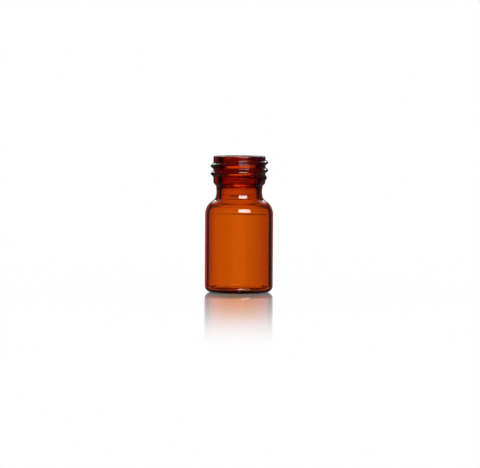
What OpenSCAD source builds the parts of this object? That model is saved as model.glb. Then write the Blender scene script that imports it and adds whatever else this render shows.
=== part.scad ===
// Screw-neck sample vial, formed from one amber glass tube.
// The section of the glass is drawn once and turned round the Z axis, and the screw thread is
// swept round the finish, as the forming rollers raise it. The origin is the middle of the base,
// on the surface that the vial stands on.

/* [Body] */
// Overall height, from the base to the lip
vial_h = 56; // [50:0.5:90]
// Outer diameter of the body
body_d = 28; // [26:0.5:34]
// Thickness of the glass in the body
wall_t = 1.5; // [1:0.1:2]
// Radius of the heel, where the side turns into the base
heel_r = 2.7; // [2.2:0.1:4]
// Thickness of the glass in the base
base_t = 1.5; // [1:0.1:2.5]
// How far the middle of the base is pushed up
base_rise = 0.5; // [0.2:0.1:1]
// Width of the flat ring that the vial stands on
foot_w = 1.2; // [0.6:0.1:2]

/* [Shoulder] */
// Angle at which the shoulder falls away, below level
shoulder_fall = 35; // [25:1:45]
// Rounding between the shoulder and the side
shoulder_r = 6.5; // [2:0.1:8]
// Thickness of the glass in the shoulder
shoulder_t = 1.6; // [1:0.1:2]
// Rounding between the neck and the shoulder
neck_fillet = 2.2; // [0.5:0.1:2.6]

/* [Neck] */
// Inner diameter of the mouth and finish
bore_d = 14.4; // [12.5:0.1:15]
// How far the bore widens on each side on its way down the neck
neck_flare = 0.5; // [0.2:0.1:0.8]
// Outer diameter of the neck where it leaves the shoulder, before the corner is rounded
neck_base_d = 19.7; // [18.8:0.1:20]
// Outer diameter of the neck at its waist
waist_d = 18.7; // [17.8:0.1:18.8]
// Outer diameter of the neck under the finish
neck_d = 19.1; // [18.8:0.1:19.6]
// Height of the neck, from the shoulder to the finish
neck_h = 5.3; // [5:0.1:8]
// Height of the waist above the shoulder
waist_h = 2.4; // [2:0.1:3]

/* [Finish] */
// Outer diameter of the finish, without its thread
finish_d = 21.45; // [20.9:0.05:21.8]
// Height of the finish, from the neck to the lip
finish_h = 12.3; // [12:0.1:15]
// Angle at which the underside of the finish falls away, below level
skirt_fall = 45; // [20:1:55]
// Rounding of the lower edge of the finish
skirt_r = 1.2; // [0.4:0.1:1.5]
// Rounding between the finish and the neck
skirt_fillet = 1; // [0.2:0.1:1.2]
// Rounding of the lip, outside and inside
lip_r = 0.4; // [0.2:0.1:0.8]

/* [Thread] */
// Outer diameter of the thread
thread_d = 23.75; // [23:0.05:24.2]
// Rise of the thread in one turn
thread_pitch = 3.175; // [3:0.025:3.4]
// Length of the thread, in turns
thread_turns = 2.35; // [1:0.05:2.4]
// Width of the thread at its root
thread_w = 2.4; // [1.8:0.1:2.8]
// Radius of the thread's crest
crest_r = 0.6; // [0.4:0.05:0.7]
// Depth of the thread's upper end below the lip
thread_start = 1.9; // [1.8:0.1:3]
// Angle round the vial at which the upper end lies
thread_angle = 80; // [0:5:355]
// Angle over which the thread rises from the finish at its upper end
thread_rise = 45; // [20:5:120]
// Angle over which it fades away at its lower end
thread_fade = 85; // [30:5:120]

/* [Hidden] */
$fn = 96;

body_r = body_d / 2;
inner_r = body_r - wall_t;
bore_r = bore_d / 2;
neck_bore_r = bore_r + neck_flare;
neck_base_r = neck_base_d / 2;
waist_r = waist_d / 2;
neck_r = neck_d / 2;
finish_r = finish_d / 2;

// Heights of the section's corners, before they are rounded
finish_z = vial_h - finish_h;
skirt_z = finish_z + (finish_r - neck_r) * tan(skirt_fall);
neck_base_z = finish_z - neck_h;
waist_z = neck_base_z + waist_h;
function shoulder_z(r) = neck_base_z - (r - neck_base_r) * tan(shoulder_fall);
shoulder_drop = shoulder_t / cos(shoulder_fall);

// The roundings at the two ends of a slope share its length: under the finish, and on the
// shoulder, outside and inside
slope_used = 0.98;      // the most of a slope that its roundings may take up
tightest_r = 0.3;       // the least rounding that the inside of the shoulder may have
flare_r = 8;            // rounding where the bore starts to widen
function slope_share(run, fall, roundings) =
    min(1, slope_used * run / cos(fall) / (roundings * tan((90 - fall) / 2)));
skirt_share = slope_share(finish_r - neck_r, skirt_fall, skirt_r + skirt_fillet);
shoulder_share = slope_share(body_r - neck_base_r, shoulder_fall, shoulder_r + neck_fillet);
inner_shoulder_r = max(shoulder_r - shoulder_t, tightest_r);
inner_neck_r = neck_fillet + shoulder_t;
inner_share = slope_share(inner_r - neck_bore_r, shoulder_fall, inner_shoulder_r + inner_neck_r);

// The waist's rounding takes up a part of the shorter of the two sides that meet there
gentlest_r = 4;
waist_used = 0.3;
waist_turn = atan((neck_base_r - waist_r) / waist_h) + atan((neck_r - waist_r) / (neck_h - waist_h));
waist_round =
    min(gentlest_r, waist_used * min(waist_h, neck_h - waist_h) / tan(waist_turn / 2));

// Half the section of the glass: [distance from the axis, height, rounding] at each corner, up
// the outside, over the lip and down the inside
section = [
    [0, 0, 0],
    [body_r, 0, heel_r],
    [body_r, shoulder_z(body_r), shoulder_r * shoulder_share],
    [neck_base_r, neck_base_z, neck_fillet * shoulder_share],
    [waist_r, waist_z, waist_round],
    [neck_r, finish_z, skirt_fillet * skirt_share],
    [finish_r, skirt_z, skirt_r * skirt_share],
    [finish_r, vial_h, lip_r],
    [bore_r, vial_h, lip_r],
    [bore_r, skirt_z, flare_r],
    [neck_bore_r, shoulder_z(neck_bore_r) - shoulder_drop, inner_neck_r * inner_share],
    [inner_r, shoulder_z(inner_r) - shoulder_drop, inner_shoulder_r * inner_share],
    [inner_r, base_t, heel_r - wall_t],
    [0, base_t, 0]
];

// The push-up is a shallow part of a sphere, inside the ring that the vial stands on
push_up_r = body_r - heel_r - foot_w;
push_up_sphere_r = (pow(push_up_r, 2) + pow(base_rise, 2)) / (2 * base_rise);

thread_h = (thread_d - finish_d) / 2;
thread_root = 0.3;      // how far the swept thread reaches into the finish
thread_sunk = 0.1;      // how far below the finish its crest lies at both ends
flank_overrun = 0.05;   // how far its flanks run on below the finish
thread_step = 5;        // degrees from one cross-section to the next
crest_steps = 8;
thread_rings = round(thread_turns * 360 / thread_step);

corner_overlap = 0.2;   // how far a sliver that rounds a corner reaches past it

function point(corner) = [corner[0], corner[1]];
function unit(v) = v / norm(v);
function smooth(t) = let (u = min(max(t, 0), 1)) u * u * (3 - 2 * u);

// Corner b of an outline that runs a, b, c: the angle between its sides, how far from it a
// rounding starts, and the rounding's centre
function corner_angle(a, b, c) = acos(unit(a - b) * unit(c - b));
function setback(a, b, c, r) = r / tan(corner_angle(a, b, c) / 2);
function rounding_centre(a, b, c, r) =
    b + unit(unit(a - b) + unit(c - b)) * r / sin(corner_angle(a, b, c) / 2);
function is_convex(a, b, c) = cross(b - a, c - b) > 0;

// The sliver between a corner and the circle that rounds it, drawn a little past the corner
module corner_sliver(a, b, c, r) {
    s = setback(a, b, c, r);
    m = rounding_centre(a, b, c, r);
    difference() {
        polygon([b + unit(b - m) * corner_overlap, b + unit(a - b) * s, m, b + unit(c - b) * s]);
        translate(m) circle(r);
    }
}

module corner_slivers(outline, convex) {
    n = len(outline);
    for (i = [0:n - 1]) {
        a = point(outline[(i + n - 1) % n]);
        b = point(outline[i]);
        c = point(outline[(i + 1) % n]);
        r = outline[i][2];
        if (r > 0 && is_convex(a, b, c) == convex) corner_sliver(a, b, c, r);
    }
}

// An outline with every corner rounded: slivers come off the outer corners and fill the inner ones
module rounded_outline(outline) {
    difference() {
        union() {
            polygon([for (corner = outline) point(corner)]);
            corner_slivers(outline, false);
        }
        corner_slivers(outline, true);
    }
}

// Half a disc, centred on the axis, whose top lies at the given height
module half_disc(r, top) {
    translate([0, top - r]) intersection() {
        circle(r, $fn = 256);
        translate([0, -2 * r]) square([r + 1, 4 * r]);
    }
}

module glass_section() {
    difference() {
        union() {
            rounded_outline(section);
            // The inside of the base rises with its underside
            intersection() {
                half_disc(push_up_sphere_r + base_t, base_rise + base_t);
                translate([0, base_t / 2]) square([inner_r - wall_t, base_t + base_rise]);
            }
        }
        half_disc(push_up_sphere_r, base_rise);
    }
}

// Cross-section of the thread: [along the axis, height above the finish]. Its flanks are
// tangents to the rounded crest, drawn through the edges of the root and on to its feet, just
// inside the finish, where the straight sides of the part that lies in the glass begin.
crest_round = min(crest_r, thread_h);
crest_centre = [0, thread_h - crest_round];
root_edge = [thread_w / 2, 0];
crest_to_root = root_edge - crest_centre;
flank_angle = atan2(crest_to_root[1], crest_to_root[0]) + acos(crest_round / norm(crest_to_root));
foot_half_w = thread_w / 2 + flank_overrun * tan(flank_angle);
thread_section = concat(
    [[-foot_half_w, -thread_root], [-foot_half_w, -flank_overrun]],
    [for (i = [0:crest_steps])
        let (a = 180 - flank_angle - (180 - 2 * flank_angle) * i / crest_steps)
        crest_centre + crest_round * [cos(a), sin(a)]],
    [[foot_half_w, -flank_overrun], [foot_half_w, -thread_root]]
);

// How much of its full height the thread has at one ring, from 0 at its ends to 1
function grown(i) =
    smooth(thread_step * min(i / thread_rise, (thread_rings - i) / thread_fade));
function thread_ring(i) =
    let (
        a = thread_angle - i * thread_step,
        z = vial_h - thread_start - thread_pitch * i * thread_step / 360,
        crest_h = (thread_h + thread_sunk) * grown(i) - thread_sunk,
        scale_h = (crest_h + thread_root) / (thread_h + thread_root)
    )
    [for (p = thread_section)
        let (r = finish_r - thread_root + (p[1] + thread_root) * scale_h)
        [r * cos(a), r * sin(a), z + p[0]]];

module thread() {
    m = len(thread_section);
    points = [for (i = [0:thread_rings]) each thread_ring(i)];
    sides = [for (i = [0:thread_rings - 1], j = [0:m - 1])
        let (k = (j + 1) % m)
        [i * m + j, (i + 1) * m + j, (i + 1) * m + k, i * m + k]];
    upper_end = [for (j = [0:m - 1]) j];
    lower_end = [for (j = [m - 1:-1:0]) thread_rings * m + j];
    polyhedron(points, concat([upper_end], sides, [lower_end]));
}

module vial() {
    color("#b85207") {
        rotate_extrude() glass_section();
        thread();
    }
}

vial();
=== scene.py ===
# %% [markdown]
# # An amber glass sample vial
#
# The vial is one piece of glass. A length of amber tube is softened in flames and turned on a
# lathe, where rollers press the neck and the screw finish into it and a flame closes its base.
# So it is modelled the same way: half of its section is drawn once, spun round the axis, and the
# thread is pushed out of the finish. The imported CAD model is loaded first, because it fixes the
# frame, and the new glass takes the place of its one node.
#
# %% Load the fixed frame
import math

import bpy
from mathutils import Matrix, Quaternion, Vector


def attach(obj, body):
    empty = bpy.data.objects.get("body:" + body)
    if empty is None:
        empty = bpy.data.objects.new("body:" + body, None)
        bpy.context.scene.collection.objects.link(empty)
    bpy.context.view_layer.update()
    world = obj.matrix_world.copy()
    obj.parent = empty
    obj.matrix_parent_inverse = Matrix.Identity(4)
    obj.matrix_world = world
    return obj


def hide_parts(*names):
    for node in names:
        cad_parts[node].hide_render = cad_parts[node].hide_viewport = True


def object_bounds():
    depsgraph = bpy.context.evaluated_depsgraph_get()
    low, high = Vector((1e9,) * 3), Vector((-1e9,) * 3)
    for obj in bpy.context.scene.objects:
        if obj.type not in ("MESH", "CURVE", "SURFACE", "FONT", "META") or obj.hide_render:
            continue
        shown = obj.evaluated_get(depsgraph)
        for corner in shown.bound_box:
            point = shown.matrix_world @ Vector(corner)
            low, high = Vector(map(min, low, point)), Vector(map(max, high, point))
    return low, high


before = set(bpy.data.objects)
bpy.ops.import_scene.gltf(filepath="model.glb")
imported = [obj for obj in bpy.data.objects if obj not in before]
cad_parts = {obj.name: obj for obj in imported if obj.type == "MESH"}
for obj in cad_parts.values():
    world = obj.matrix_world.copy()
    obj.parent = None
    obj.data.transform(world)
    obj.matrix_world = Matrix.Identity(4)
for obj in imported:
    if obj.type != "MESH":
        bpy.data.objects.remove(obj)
cad_low, cad_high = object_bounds()
print("CAD box, mm:", [round(1000 * v, 2) for v in cad_high - cad_low])

# %% [markdown]
# ## Sizes
#
# Glass makers work in millimetres and degrees, so every size is written that way, and MM turns a
# length into Blender's metres where it is used. The section's corners are the places where its
# straight runs would meet if nothing were rounded.
#
# %% Sizes of the glass, in millimetres and degrees
MM = 0.001
VIAL_H = 1000 * (cad_high.z - cad_low.z)
BODY_R = 14.0
WALL_T = 1.5
HEEL_R = 2.7
BASE_T = 1.5
BASE_RISE = 0.5
FOOT_W = 1.2
SHOULDER_FALL = math.radians(35)
SHOULDER_R = 6.5
SHOULDER_T = 1.6
NECK_FILLET = 2.2
BORE_R = 7.2
NECK_FLARE = 0.5
FLARE_R = 8.0
NECK_BASE_R = 9.85
WAIST_R = 9.35
WAIST_H = 2.4
WAIST_ROUND = 4.0
NECK_R = 9.55
NECK_H = 5.3
FINISH_R = 10.725
FINISH_H = 12.3
SKIRT_FALL = math.radians(45)
SKIRT_R = 1.2
SKIRT_FILLET = 1.0
LIP_R = 0.4

inner_r = BODY_R - WALL_T
neck_bore_r = BORE_R + NECK_FLARE
finish_z = VIAL_H - FINISH_H
skirt_z = finish_z + (FINISH_R - NECK_R) * math.tan(SKIRT_FALL)
neck_base_z = finish_z - NECK_H
waist_z = neck_base_z + WAIST_H
shoulder_drop = SHOULDER_T / math.cos(SHOULDER_FALL)


def shoulder_z(radius):
    """Height of the shoulder's outer slope at a radius."""
    return neck_base_z - (radius - NECK_BASE_R) * math.tan(SHOULDER_FALL)


print("waist", round(waist_z, 2), "mm up, shoulder corner", round(shoulder_z(BODY_R), 2))

# %% [markdown]
# ## The push-up
#
# The middle of the base is pushed up a little, so that the vial stands on a ring and doesn't
# rock. Its underside is a shallow part of a sphere, and the inside of the base follows it, one
# glass thickness further from the same centre.
#
# %% Work out the push-up's sphere
push_up_r = BODY_R - HEEL_R - FOOT_W
sphere_r = (push_up_r**2 + BASE_RISE**2) / (2 * BASE_RISE)
sphere_centre = Vector((0, BASE_RISE - sphere_r))
under_sweep = math.asin(push_up_r / sphere_r)
inside_r = sphere_r + BASE_T
inside_rise = BASE_T - sphere_centre.y
inside_sweep = math.acos(inside_rise / inside_r)
inside_edge = inside_r * math.sin(inside_sweep)
print("push-up", round(push_up_r, 2), "mm in radius, on a sphere of", round(sphere_r, 1))

# %% [markdown]
# ## The section
#
# One list holds the corners of half the section: its distance from the axis, its height and its
# rounding. It runs out along the foot, up the outside, over the lip and down the inside. The
# real glass has no sharp edge anywhere, because the flame rounds them all.
#
# %% List the corners of the section
CORNERS = [
    (push_up_r, 0, 0),
    (BODY_R, 0, HEEL_R),
    (BODY_R, shoulder_z(BODY_R), SHOULDER_R),
    (NECK_BASE_R, neck_base_z, NECK_FILLET),
    (WAIST_R, waist_z, WAIST_ROUND),
    (NECK_R, finish_z, SKIRT_FILLET),
    (FINISH_R, skirt_z, SKIRT_R),
    (FINISH_R, VIAL_H, LIP_R),
    (BORE_R, VIAL_H, LIP_R),
    (BORE_R, skirt_z, FLARE_R),
    (neck_bore_r, shoulder_z(neck_bore_r) - shoulder_drop, NECK_FILLET + SHOULDER_T),
    (inner_r, shoulder_z(inner_r) - shoulder_drop, SHOULDER_R - SHOULDER_T),
    (inner_r, BASE_T, HEEL_R - WALL_T),
    (inside_edge, BASE_T, 0),
]
print(len(CORNERS), "corners")

# %% [markdown]
# ## Drawing with two operators
#
# In edit mode a single vertex is a pencil. Extrude draws a straight line from it and Spin draws
# an arc, and each leaves its last vertex selected, ready for the next stroke. Straight runs are
# drawn in short steps, because smooth shading blends the normals over the first row of faces
# after an arc, and a long row would bend the view through the glass.
#
# %% The pencil
ROW_H = 1.2
ARC_STEP = math.radians(4)


def deselect_all():
    """Leaves nothing selected and object mode on, because operators act on all that is selected."""
    if bpy.context.mode != "OBJECT":
        bpy.ops.object.mode_set(mode="OBJECT")
    bpy.ops.object.select_all(action="DESELECT")


def start_drawing(name, at):
    """A new mesh in edit mode with one selected vertex, the pencil's point."""
    deselect_all()
    bpy.ops.mesh.primitive_plane_add(size=MM)
    drawing = bpy.context.object
    drawing.name = drawing.data.name = name
    bpy.ops.object.mode_set(mode="EDIT")
    bpy.ops.mesh.merge(type="CENTER")
    bpy.ops.transform.translate(value=(at.x * MM, 0, at.y * MM))
    bpy.ops.mesh.select_mode(type="VERT")
    return drawing


def draw_line(start, end, row_h=ROW_H):
    """Draws from start to end in equal steps, none longer than row_h."""
    run = end - start
    rows = max(1, math.ceil(run.length / row_h))
    step = run * (MM / rows)
    for _ in range(rows):
        move = {"value": (step.x, 0, step.y)}
        bpy.ops.mesh.extrude_region_move(TRANSFORM_OT_translate=move)


def draw_arc(centre, turn, rows=None):
    """Draws an arc round a centre. A turn above 0 goes to the left, as on the section's outside."""
    rows = rows or max(6, math.ceil(abs(turn) / ARC_STEP))
    where = (centre.x * MM, 0, centre.y * MM)
    bpy.ops.mesh.spin(steps=rows, angle=turn, center=where, axis=(0, 1, 0))


def rounding(before, corner, after, radius):
    """Where the rounding of a corner starts and ends, its centre and how far it turns."""
    back, on = (before - corner).normalized(), (after - corner).normalized()
    half = back.angle(on) / 2
    reach = radius / math.tan(half)
    centre = corner + (back + on).normalized() * (radius / math.sin(half))
    turn = (math.pi - 2 * half) * math.copysign(1, on.cross(back))
    return corner + back * reach, corner + on * reach, centre, turn


print("arcs in steps of", round(math.degrees(ARC_STEP), 1), "degrees")

# %% [markdown]
# ## Drawing the section
#
# The pencil starts under the middle of the base, sweeps out along the push-up and goes round the
# corners. On the outside of the finish it takes much shorter steps, because the thread needs
# fine rows to stand out from.
#
# %% Draw half the section
THREAD_ROW_H = 0.12
DOME_ROWS = 14

glass = start_drawing("vial_glass", Vector((0, BASE_RISE)))
draw_arc(sphere_centre, -under_sweep, DOME_ROWS)
pencil = Vector((push_up_r, 0))
for i in range(1, len(CORNERS) - 1):
    before, here, after = (Vector(corner[:2]) for corner in CORNERS[i - 1 : i + 2])
    start, end, centre, turn = rounding(before, here, after, CORNERS[i][2])
    on_finish = CORNERS[i - 1][0] == CORNERS[i][0] == FINISH_R
    draw_line(pencil, start, THREAD_ROW_H if on_finish else ROW_H)
    draw_arc(centre, turn)
    pencil = end
draw_line(pencil, Vector(CORNERS[-1][:2]))
draw_arc(sphere_centre, inside_sweep, DOME_ROWS)
bpy.ops.object.mode_set(mode="OBJECT")
print("section drawn with", len(glass.data.vertices), "points")

# %% [markdown]
# ## Spinning the glass
#
# Spin turns the section round the axis. The last profile lies on the first and the two ends of
# the section lie on the axis, so merging by distance closes the seam and both poles.
#
# %% Spin the section round the axis
AROUND = 256
WELD = 0.001


def clean_up(piece):
    """Merges doubles and turns every face outwards."""
    deselect_all()
    bpy.context.view_layer.objects.active = piece
    piece.select_set(True)
    bpy.ops.object.mode_set(mode="EDIT")
    bpy.ops.mesh.select_all(action="SELECT")
    bpy.ops.mesh.remove_doubles(threshold=WELD * MM)
    bpy.ops.mesh.normals_make_consistent(inside=False)
    bpy.ops.object.mode_set(mode="OBJECT")


bpy.ops.object.mode_set(mode="EDIT")
bpy.ops.mesh.select_all(action="SELECT")
bpy.ops.mesh.spin(steps=AROUND, angle=math.tau, center=(0, 0, 0), axis=(0, 0, 1))
clean_up(glass)
print("spun to", len(glass.data.polygons), "faces")

# %% [markdown]
# ## The thread's cross-section
#
# A screw thread on glass is a rounded ridge with sloping flanks, because glass can't be rolled
# to a sharp edge. Its height above the finish is worked out at each offset from its crest: a
# round crest, straight flanks that are tangents to it, and a soft root.
#
# %% The form of the thread
THREAD_R = 11.875
THREAD_W = 2.4
CREST_R = 0.6
ROOT_SOFTNESS = 0.4

thread_h = THREAD_R - FINISH_R
crest_centre_h = thread_h - CREST_R
to_edge = Vector((THREAD_W / 2, -crest_centre_h))
flank = math.atan2(to_edge.y, to_edge.x) + math.acos(CREST_R / to_edge.length)
tangent_at = CREST_R * math.cos(flank)


def thread_form(offset):
    """Height of the full thread at an offset from its crest, below 0 past its root."""
    offset = abs(offset)
    if offset < tangent_at:
        return crest_centre_h + math.sqrt(CREST_R**2 - offset**2)
    return (THREAD_W / 2 - offset) / math.tan(flank)


def soften(height):
    """0 below the finish, the height above it, and a small fillet between them."""
    fillet = max(ROOT_SOFTNESS - abs(height), 0) ** 2 / (4 * ROOT_SOFTNESS)
    return max(height, 0) + fillet


print("thread", round(thread_h, 2), "mm high, flanks at", round(math.degrees(flank)), "degrees")

# %% [markdown]
# ## The thread's path
#
# A right-hand thread falls as it goes clockwise, seen from above, by one pitch in each turn. It
# grows out of the glass at its upper end and fades back into it at the lower one, as the rollers
# leave it, so that a cap finds its start.
#
# %% The height of the thread at each place on the finish
THREAD_PITCH = 3.175
THREAD_TURNS = 2.35
THREAD_START = 1.9
THREAD_ANGLE = math.radians(80)
THREAD_RISE = math.radians(45)
THREAD_FADE = math.radians(85)
THREAD_ROOT = 0.3
THREAD_SUNK = 0.1


def smooth(share):
    """An S-curve from 0 to 1."""
    share = min(max(share, 0), 1)
    return share * share * (3 - 2 * share)


def thread_height(angle, z):
    """How far the thread stands out at a place on the finish."""
    highest = 0
    first_turn = ((THREAD_ANGLE - angle) / math.tau) % 1
    for whole_turns in range(math.ceil(THREAD_TURNS)):
        turns = first_turn + whole_turns
        if turns > THREAD_TURNS:
            break
        turns_left = THREAD_TURNS - turns
        grown = smooth(math.tau * min(turns / THREAD_RISE, turns_left / THREAD_FADE))
        crest = (thread_h + THREAD_SUNK) * grown - THREAD_SUNK
        scale = (crest + THREAD_ROOT) / (thread_h + THREAD_ROOT)
        offset = z - (VIAL_H - THREAD_START - THREAD_PITCH * turns)
        full = thread_form(offset)
        highest = max(highest, soften((full + THREAD_ROOT) * scale - THREAD_ROOT))
    return highest


front = -math.pi / 2
turns_to_front = (THREAD_ANGLE - front) / math.tau
first_crest_z = VIAL_H - THREAD_START - THREAD_PITCH * turns_to_front
print("first crest in front:", round(first_crest_z, 2), "mm up, standing out by")
print(round(thread_height(front, first_crest_z), 2), "mm")

# %% [markdown]
# ## Raising the thread
#
# The rollers raise the thread out of the hot glass, so it is part of the finish and no separate
# ring. Here each vertex of the finish gets a weight, from 0 where the glass stays to 1 on the
# crest, and a Displace modifier pushes the vertices out by it.
#
# %% Raise the thread out of the finish
crests = glass.vertex_groups.new(name="thread")
raised = 0
for v in glass.data.vertices:
    r, z = math.hypot(v.co.x, v.co.y) / MM, v.co.z / MM
    if abs(r - FINISH_R) > WELD or z < skirt_z:
        continue
    weight = thread_height(math.atan2(v.co.y, v.co.x), z) / thread_h
    if weight > 0:
        crests.add([v.index], weight, "REPLACE")
        raised += 1
push = glass.modifiers.new("thread", "DISPLACE")
push.vertex_group = crests.name
push.direction = "NORMAL"
push.mid_level = 0
push.strength = thread_h * MM
bpy.ops.object.modifier_apply(modifier=push.name)
bpy.ops.object.shade_smooth()
print("thread raised on", raised, "vertices")

# %% [markdown]
# ## Helpers for colours and nodes
#
# Colours are written as sRGB hex codes, as in any paint program, but the nodes work with linear
# light, so one function turns them. Another adds a node with its settings and its links.
#
# %% A helper for nodes and one for colours
def hex_colour(code):
    """A linear RGBA colour from an sRGB hex code."""
    channels = [int(code[i : i + 2], 16) / 255 for i in (1, 3, 5)]
    linear = [c / 12.92 if c <= 0.04045 else ((c + 0.055) / 1.055) ** 2.4 for c in channels]
    return (*linear, 1)


def add_node(tree, kind, inputs=None, **settings):
    """Adds a node. Inputs are by name or number: a value, or a socket to link."""
    node = tree.nodes.new(kind)
    for name, value in settings.items():
        setattr(node, name, value)
    for name, value in (inputs or {}).items():
        if isinstance(value, bpy.types.NodeSocket):
            tree.links.new(value, node.inputs[name])
        else:
            node.inputs[name].default_value = value
    return node


def new_tree(owner):
    """Gives a material or a world an empty node tree."""
    owner.use_nodes = True
    owner.node_tree.nodes.clear()
    return owner.node_tree


WHITE = hex_colour("#ffffff")
print("white is", WHITE)

# %% [markdown]
# ## Recipes
#
# The glass, the world and the floor all need long sums, and a sum made of nodes is hard to read.
# So each is written as a recipe: a list of lines, each with the name of its result, what to do
# and the values to do it with. A value is a number or the name of an earlier result. A sum
# becomes a Math node, and a fade becomes a Map Range node, which goes smoothly from one value to
# another while a reading goes from a start to an end.
#
# %% Turn a recipe into nodes
FADE_INPUTS = ("Value", "From Min", "From Max", "To Min", "To Max")


def work_out(tree, known, recipe):
    """Adds a node for each line of a recipe. All results are kept in known, by their names."""
    for name, operation, *values in recipe:
        values = [known.get(value, value) for value in values]
        if operation == "FADE":
            kind, inputs = "ShaderNodeMapRange", dict(zip(FADE_INPUTS, values))
            settings = {"interpolation_type": "SMOOTHSTEP"}
        else:
            kind, inputs = "ShaderNodeMath", dict(enumerate(values))
            settings = {"operation": operation}
        known[name] = add_node(tree, kind, inputs, **settings).outputs[0]


def place_in_mm(tree):
    """The place on a piece in millimetres, and its X, Y and Z."""
    place = add_node(tree, "ShaderNodeTexCoord").outputs["Object"]
    in_mm = add_node(
        tree, "ShaderNodeVectorMath", {0: place, "Scale": 1 / MM}, operation="SCALE"
    ).outputs[0]
    return in_mm, dict(add_node(tree, "ShaderNodeSeparateXYZ", {0: in_mm}).outputs.items())


print("a fade reads:", ", ".join(FADE_INPUTS))

# %% [markdown]
# ## Amber glass
#
# Amber tube glass is coloured through and through by iron and sulphur, so its colour comes from
# how far light travels in it: a thin wall is orange, and a thick or slanting one goes red and
# then almost black. Volume Absorption does that, on a shader that is otherwise clear. Drawing
# leaves faint lines along the tube, and the rollers leave faint rings on the shoulder, neck and
# finish. Both are about a hundredth of a millimetre deep, too fine to model, so they are bump.
#
# %% Amber tube glass: drawn, rolled and fire-polished
AMBER = "#f8d839"
AMBER_DENSITY = 2500
GLASS_IOR = 1.51
# The rollers' rings lie about a millimetre apart up the neck and run on round it
RING_SIZE = (16.7, 16.7, 1.11)
RING_DEPTH = 0.012
# Real draw lines can be finer than a tenth of a millimetre. They are drawn this coarse to show
LINE_SIZE = (1.43, 1.43, 83.3)
LINE_DEPTH = 0.004
# The lines stay on the body, and the rings take over on the shoulder
GLASS_RELIEF = [
    ("rolled", "FADE", "Z", 27, 32, 0, RING_DEPTH * MM),
    ("drawn", "FADE", "Z", 27, 32, LINE_DEPTH * MM, 0),
    ("lines", "MULTIPLY", "lines", "drawn"),
    ("relief", "MULTIPLY_ADD", "rings", "rolled", "lines"),
]


def amber_tube_glass():
    """Clear, smooth glass that absorbs blue first, then green. The marks streak its highlights."""
    material = bpy.data.materials.new("amber_tube_glass")
    tree = new_tree(material)
    place, known = place_in_mm(tree)
    for name, size in (("rings", RING_SIZE), ("lines", LINE_SIZE)):
        stretched = add_node(
            tree, "ShaderNodeVectorMath", {0: place, 1: size}, operation="DIVIDE"
        ).outputs[0]
        noise = add_node(
            tree, "ShaderNodeTexNoise", {"Vector": stretched, "Scale": 1.0, "Detail": 2.0}
        )
        known[name] = noise.outputs[0]
    work_out(tree, known, GLASS_RELIEF)
    bump = add_node(tree, "ShaderNodeBump", {"Height": known["relief"], "Distance": 1.0})
    glass_shader = add_node(
        tree,
        "ShaderNodeBsdfPrincipled",
        {
            "Base Color": WHITE,
            "Roughness": 0.0,
            "IOR": GLASS_IOR,
            "Transmission Weight": 1.0,
            "Normal": bump.outputs[0],
        },
    )
    tint = add_node(
        tree,
        "ShaderNodeVolumeAbsorption",
        {"Color": hex_colour(AMBER), "Density": AMBER_DENSITY},
    )
    add_node(
        tree,
        "ShaderNodeOutputMaterial",
        {"Surface": glass_shader.outputs["BSDF"], "Volume": tint.outputs["Volume"]},
    )
    return material


glass.data.materials.clear()
glass.data.materials.append(amber_tube_glass())
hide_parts("vial")
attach(glass, "root")
print("glass triangles:", sum(len(p.vertices) - 2 for p in glass.data.polygons))

# %% [markdown]
# ## The camera
#
# A long lens from well back keeps the sides of the vial straight. The camera stands a little
# higher than the mouth, so that the far side of the lip just shows. The lens follows from how
# wide the body is to be: its radius takes up 34.1 of the 480 pixels across the frame.
#
# %% Set up the camera
CAMERA_DISTANCE = 1350
CAMERA_HEIGHT = 98
AIM = Vector((0.42, 0, 23.9))
ROLL = math.radians(0.36)
SENSOR = 36
FRAME_W = 480
BODY_R_IN_FRAME = 34.1
FARTHEST = 20000

bpy.ops.object.camera_add(location=Vector((AIM.x, -CAMERA_DISTANCE, CAMERA_HEIGHT)) * MM)
camera = bpy.context.object
camera.data.sensor_width = SENSOR
camera.data.lens = BODY_R_IN_FRAME / BODY_R * CAMERA_DISTANCE * SENSOR / FRAME_W
look = AIM * MM - camera.location
rolled = look.to_track_quat("-Z", "Y") @ Quaternion((0, 0, 1), ROLL)
camera.rotation_euler = rolled.to_euler()
camera.data.clip_end = FARTHEST * MM
bpy.context.scene.camera = camera
print("lens, mm:", round(camera.data.lens, 1))

# %% [markdown]
# ## Directions in the studio
#
# Glass has hardly any look of its own: it shows what stands around it. So the studio is drawn in
# the world, as brightness by direction, and the directions are worked out first, in degrees. A
# direction's rise is its angle above level. Its angle off_back says how far it points away from
# the background behind the vial. The background is repeated on all four sides, so that the vial
# looks right from each, and off_axis is the angle away from the nearest of them.
#
# %% The directions, in degrees
NEARLY_0 = 0.000001
DIRECTIONS = [
    ("xx", "MULTIPLY", "X", "X"),
    ("yy", "MULTIPLY", "Y", "Y"),
    ("level", "ADD", "xx", "yy"),
    ("level", "MAXIMUM", "level", NEARLY_0),
    ("level", "SQRT", "level"),
    ("across", "ABSOLUTE", "X"),
    ("along", "ABSOLUTE", "Y"),
    ("nearest", "MAXIMUM", "across", "along"),
    ("nearest", "DIVIDE", "nearest", "level"),
    ("off_axis", "ARCCOSINE", "nearest"),
    ("off_axis", "DEGREES", "off_axis"),
    ("backwards", "DIVIDE", "Y", "level"),
    ("off_back", "ARCCOSINE", "backwards"),
    ("off_back", "DEGREES", "off_back"),
    ("rise", "ARCSINE", "Z"),
    ("rise", "DEGREES", "rise"),
    # above 0 on the right of each background, and below 0 on its left
    ("aside", "SUBTRACT", "yy", "xx"),
    ("aside", "MULTIPLY", "aside", "X"),
    ("aside", "MULTIPLY", "aside", "Y"),
]
print(len(DIRECTIONS), "lines for the directions")

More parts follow.
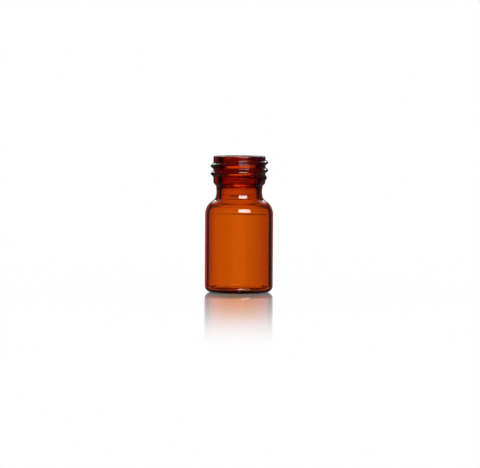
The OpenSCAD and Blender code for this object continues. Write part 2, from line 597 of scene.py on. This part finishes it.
# %% [markdown]
# ## The background, from bottom to top
#
# A photographer lights clear glass with a bright background and dark surroundings: light reaches
# the camera through the glass, and the dark beyond the background's edges draws the outlines. So
# the background ends 14 degrees up. The table that the vial stands on shows darker below it, and
# between the two is a narrow gap, which the thick finish shows because it bends light least. From
# right above, the table is bright again.
#
# %% How bright the background is at each height
GAP = 0.34
BY_HEIGHT = [
    ("table", "FADE", "rise", -10, -4.5, 0.15, 1),
    ("underneath", "FADE", "rise", -80, -45, 0.9, 0),
    ("table", "MAXIMUM", "table", "underneath"),
    ("height", "FADE", "rise", 8.5, 14, 1, 0.05),
    ("height", "MINIMUM", "height", "table"),
    ("gap", "FADE", "rise", -2.3, -2.25, 0, 1),
    ("gap", "FADE", "rise", -1.76, -1.65, "gap", 0),
    ("outside_gap", "MULTIPLY_ADD", "gap", GAP - 1, 1),
    ("height", "MULTIPLY", "height", "outside_gap"),
]
print("the gap is", GAP, "as bright as the background")

# %% [markdown]
# ## The background, from side to side
#
# It ends 22 to 28 degrees to each side, and is a little dimmer towards its edges and on its
# right, so that the glass isn't evenly bright. Further round, where there is only the table, that
# shows bright to a camera that looks down, and the walls above it stay dark.
#
# %% How bright it is at each turn
BY_TURN = [
    ("sides", "FADE", "off_axis", 3, 16, 1, 0.86),
    ("right", "FADE", "aside", 0.04, 0.13, 0, -0.14),
    ("right", "FADE", "off_axis", 11, 18, "right", 0),
    ("right", "ADD", "right", 1),
    ("background", "FADE", "off_axis", 22, 28, "height", 0),
    ("background", "MULTIPLY", "background", "sides"),
    ("background", "MULTIPLY", "background", "right"),
    ("table_round", "FADE", "rise", -14, -8, 0.9, 0),
    ("table_round", "FADE", "off_back", 27, 37, 0, "table_round"),
    ("background", "MAXIMUM", "background", "table_round"),
]
print(len(BY_HEIGHT) + len(BY_TURN), "lines for the background")

# %% [markdown]
# ## Rays that have been in the glass
#
# Light Path counts how often a ray has gone through a surface and how often it was mirrored. The
# background shows only to rays that have been in the glass. The body's round wall turns some of
# them aside by mirroring them on the inside, and those get less of it, because they would draw
# bright stripes down the body.
#
# %% What a ray from the glass sees
AT_LEAST_ONCE = 0.5
THROUGH_GLASS = [
    ("inside", "GREATER_THAN", "Transmission Depth", AT_LEAST_ONCE),
    ("through", "MULTIPLY", "background", "inside"),
    ("turned", "GREATER_THAN", "Glossy Depth", AT_LEAST_ONCE),
    ("falling", "LESS_THAN", "Z", 0),
    ("turned", "MULTIPLY", "turned", "falling"),
    ("sideways", "GREATER_THAN", "xx", "yy"),
    ("turned", "MULTIPLY", "turned", "sideways"),
    ("left_over", "MULTIPLY_ADD", "turned", -0.6, 1),
    ("through", "MULTIPLY", "through", "left_over"),
]
print(len(THROUGH_GLASS), "lines for what shows through the glass")

# %% [markdown]
# ## What the glass mirrors
#
# The outer surface of the glass mirrors the studio too, faintly in the middle and strongly near
# its outline. There it should show a narrow strip of the background, the soft lower edge of the
# lamp above it, and nearly dark walls.
#
# %% The studio as the surface mirrors it
ROOM = 0.015
IN_THE_SURFACE = [
    ("strip", "FADE", "off_back", 3, 13, 1, 0),
    ("strip_top", "FADE", "rise", -1, 3, 1, 0.1),
    ("strip_foot", "FADE", "rise", -9, -5, 0.05, 1),
    ("strip", "MULTIPLY", "strip", "strip_top"),
    ("strip", "MULTIPLY", "strip", "strip_foot"),
    ("lamp_edge", "FADE", "off_back", 8, 20, 0.5, 0),
    ("lamp_edge", "FADE", "rise", 6, 9, 0, "lamp_edge"),
    ("lamp_edge", "FADE", "rise", 30, 40, "lamp_edge", 0),
    ("walls", "FADE", "off_back", 50, 105, 0.06, 0.012),
    ("mirrored", "MAXIMUM", "strip", "lamp_edge"),
    ("mirrored", "MAXIMUM", "mirrored", "walls"),
    ("outside", "SUBTRACT", 1, "inside"),
    ("mirrored", "MULTIPLY", "mirrored", "outside"),
]
print("the room gives the glass", ROOM, "of white from every side")

# %% [markdown]
# ## The world
#
# Light Path tells what kind of ray asks. Camera rays see plain white, with a strength of 1, and
# so do the diffuse rays that light the floor. Glossy and transmission rays see the background as
# the glass shows it. The floor's sheen is glossy too, but it is rough, so its rays aren't
# singular, and it mirrors plain white. The whole background is turned a little, so that the left
# rim of the vial catches its edge and the right one misses it.
#
# %% Put the world together
BACKGROUND_TURN = math.radians(-2.5)
UP_TO_TWICE = 2.5
STRENGTH = [
    ("seen", "ADD", "through", "mirrored"),
    ("seen", "ADD", "seen", ROOM),
    ("asked", "MAXIMUM", "Is Glossy Ray", "Is Transmission Ray"),
    ("seen", "MULTIPLY", "seen", "asked"),
    # the floor's sheen, when the camera sees it directly
    ("sheen", "SUBTRACT", 1, "Is Singular Ray"),
    ("first", "LESS_THAN", "Ray Depth", UP_TO_TWICE),
    ("sheen", "MULTIPLY", "sheen", "first"),
    # and what sees plain white
    ("plain", "MAXIMUM", "Is Camera Ray", "Is Diffuse Ray"),
    ("plain", "MAXIMUM", "plain", "sheen"),
    ("strength", "MAXIMUM", "plain", "seen"),
]


def studio_world():
    """White to the camera and the floor, and a background with edges to the glass."""
    world = bpy.data.worlds.new("studio")
    bpy.context.scene.world = world
    tree = new_tree(world)
    known = dict(add_node(tree, "ShaderNodeLightPath").outputs.items())
    direction = add_node(tree, "ShaderNodeTexCoord").outputs["Generated"]
    turned = add_node(
        tree,
        "ShaderNodeVectorRotate",
        {"Vector": direction, "Angle": BACKGROUND_TURN},
        rotation_type="Z_AXIS",
    ).outputs[0]
    known.update(add_node(tree, "ShaderNodeSeparateXYZ", {0: turned}).outputs.items())
    for recipe in (DIRECTIONS, BY_HEIGHT, BY_TURN, THROUGH_GLASS, IN_THE_SURFACE, STRENGTH):
        work_out(tree, known, recipe)
    background = add_node(
        tree, "ShaderNodeBackground", {"Color": WHITE, "Strength": known["strength"]}
    )
    add_node(tree, "ShaderNodeOutputWorld", {"Surface": background.outputs["Background"]})
    print("the world has", len(tree.nodes), "nodes")


studio_world()
bpy.context.scene.view_settings.view_transform = "Standard"

# %% [markdown]
# ## The floor
#
# The vial stands on a sheet of white acrylic, polished enough to mirror it. The mirror is strong at
# the foot of the vial and fades out in front of it. In front of the vial the floor has a painted
# amber tint, set by place and not cast through the glass: a painted pool of the light that the
# amber glass would throw there. Half of the white is given off by the sheet, as an opal sheet that
# is lit from below does, so the shadow stays soft and pale. Distances are in millimetres, and far
# is the distance from the middle of the vial.
#
# %% The white of the floor, and where it shows
# the colour of the amber light painted on the floor in front of the vial
PAINTED_AMBER_LIGHT_COLOUR = "#ffe2c2"
FLOOR_WHITE = [
    # the painted amber light in front of the glass, a tint set by place
    ("aside", "ABSOLUTE", "X"),
    ("painted_glow", "FADE", "far", 25, 190, 1, 0),
    ("painted_glow", "FADE", "Y", -14, -4, "painted_glow", 0),
    ("painted_glow", "FADE", "aside", 2, 14.5, "painted_glow", 0),
    # how much of the white is given off
    ("lit", "FADE", "far", 11.5, 14.5, 0, 0.5),
    # the painted amber light is given off as well, so it shows as painted light
    ("lit", "MULTIPLY_ADD", "painted_glow", 0.4, "lit"),
    # through the glass, only the floor under and just behind the vial shows
    ("behind", "GREATER_THAN", "Y", 0),
    ("behind", "FADE", "far", 35, 45, "behind", 0),
    ("behind", "FADE", "aside", 10, 12, "behind", 0),
    ("away", "SUBTRACT", 1, "behind"),
    ("away", "FADE", "far", 11.8, 12.8, 0, "away"),
    ("away", "MULTIPLY", "away", "Is Transmission Ray"),
    # and in the glass's surface, only what the floor mirrors
    ("in_surface", "SUBTRACT", "Is Glossy Ray", "Is Transmission Ray"),
    ("clear", "MAXIMUM", "away", "in_surface"),
]
print(len(FLOOR_WHITE), "lines for the floor's white")

# %% [markdown]
# ## The floor's mirror
#
# A polished surface mirrors more the flatter it is looked at, and Fresnel works that out. The
# floor mirrors a little more at the vial's foot and nothing far away. In the glass, only the
# floor in front of the vial mirrors, because elsewhere it would show the lamps behind the vial.
#
# %% How strongly the floor mirrors
FLOOR_MIRROR = [
    ("foot", "FADE", "far", 30, 42, 0.15, 0),
    ("mirror", "ADD", "fresnel", "foot"),
    ("in_glass", "MULTIPLY", "Is Glossy Ray", 0.6),
    ("mirror", "MAXIMUM", "mirror", "in_glass"),
    ("mirror", "FADE", "far", 30, 260, "mirror", 0),
    ("front", "FADE", "far", 18, 30, 1, 0),
    ("front", "FADE", "Y", -12, -9, "front", 0),
    ("unseen", "SUBTRACT", 1, "front"),
    ("unseen", "MULTIPLY", "unseen", "Is Glossy Ray"),
    ("kept", "SUBTRACT", 1, "unseen"),
    ("mirror", "MULTIPLY", "mirror", "kept"),
]
print(len(FLOOR_MIRROR), "lines for its mirror")

# %% [markdown]
# ## White acrylic
#
# Cast acrylic is white all through and has a polished skin over it. So the floor is a matt white
# shader, partly replaced by one that gives light off, with a glossy one mixed over both. The
# skin's slight roughness softens what it mirrors.
#
# %% White acrylic: cast, polished and lit from below
ACRYLIC_IOR = 1.53
POLISH = 0.05
FLOOR_SIZE = 2400


def white_acrylic():
    """A white sheet with a mirror that fades, which the glass sees only near the vial."""
    material = bpy.data.materials.new("white_acrylic")
    tree = new_tree(material)
    place, known = place_in_mm(tree)
    known.update(add_node(tree, "ShaderNodeLightPath").outputs.items())
    far = add_node(tree, "ShaderNodeVectorMath", {0: place}, operation="LENGTH")
    known["far"] = far.outputs["Value"]
    known["fresnel"] = add_node(tree, "ShaderNodeFresnel", {"IOR": ACRYLIC_IOR}).outputs[0]
    work_out(tree, known, FLOOR_WHITE + FLOOR_MIRROR)
    # the white turns towards the painted amber light in front of the vial
    colours = {0: known["painted_glow"], "A": WHITE, "B": hex_colour(PAINTED_AMBER_LIGHT_COLOUR)}
    white = add_node(tree, "ShaderNodeMix", colours, data_type="RGBA").outputs["Result"]
    matt = add_node(tree, "ShaderNodeBsdfDiffuse", {"Color": white})
    painted_glow = add_node(tree, "ShaderNodeEmission", {"Color": white, "Strength": 1.0})
    clear = add_node(tree, "ShaderNodeBsdfTransparent")
    polish = add_node(tree, "ShaderNodeBsdfGlossy", {"Color": WHITE, "Roughness": POLISH})
    surface = matt.outputs[0]
    for share, shader in (("lit", painted_glow), ("clear", clear), ("mirror", polish)):
        inputs = {0: known[share], 1: surface, 2: shader.outputs[0]}
        surface = add_node(tree, "ShaderNodeMixShader", inputs).outputs[0]
    add_node(tree, "ShaderNodeOutputMaterial", {"Surface": surface})
    return material


deselect_all()
bpy.ops.mesh.primitive_plane_add(size=FLOOR_SIZE * MM)
floor = bpy.context.object
floor.name = floor.data.name = "floor"
floor.data.materials.append(white_acrylic())
print("floor:", FLOOR_SIZE, "mm square")

# %% [markdown]
# ## The softboxes
#
# Two kinds of lamp show in the glass. A softbox in front, on the camera's right, draws the crisp
# bright marks down the front of the vial. Two behind and above it light the tops of the shoulder
# and the thread; the upper one is wider and dimmer. They are only mirrored by the glass and don't
# shine through it, and a dim high panel does the opposite. A lamp's brightness is given as what
# it shows in a mirror, where 1 is white.
#
# %% Set up the softboxes
HEART = Vector((0, 0, 36))


def softbox(name, turn, up, distance, size, brightness):
    """An area lamp, turned so far from the camera's side to the right, that faces the vial."""
    turn, up = math.radians(turn), math.radians(up)
    way = Vector((math.sin(turn) * math.cos(up), -math.cos(turn) * math.cos(up), math.sin(up)))
    deselect_all()
    bpy.ops.object.light_add(type="AREA", location=(HEART + way * distance) * MM)
    lamp = bpy.context.object
    lamp.name = lamp.data.name = name
    lamp.data.shape = "RECTANGLE"
    lamp.data.size, lamp.data.size_y = size[0] * MM, size[1] * MM
    lamp.data.energy = brightness * math.pi * lamp.data.size * lamp.data.size_y
    lamp.rotation_euler = way.to_track_quat("Z", "Y").to_euler()
    lamp.visible_camera = False
    lamp.visible_diffuse = False
    return lamp


softbox("front_softbox", 19.5, 31, 600, (425, 225), 15.5)
low_softbox = softbox("low_back_softbox", 180, 25.5, 900, (690, 175), 3.2)
high_softbox = softbox("high_back_softbox", 180, 39, 900, (1100, 260), 0.6)
low_softbox.visible_transmission = high_softbox.visible_transmission = False
softbox("high_panel", 180, 26, 900, (700, 250), 1.15).visible_glossy = False
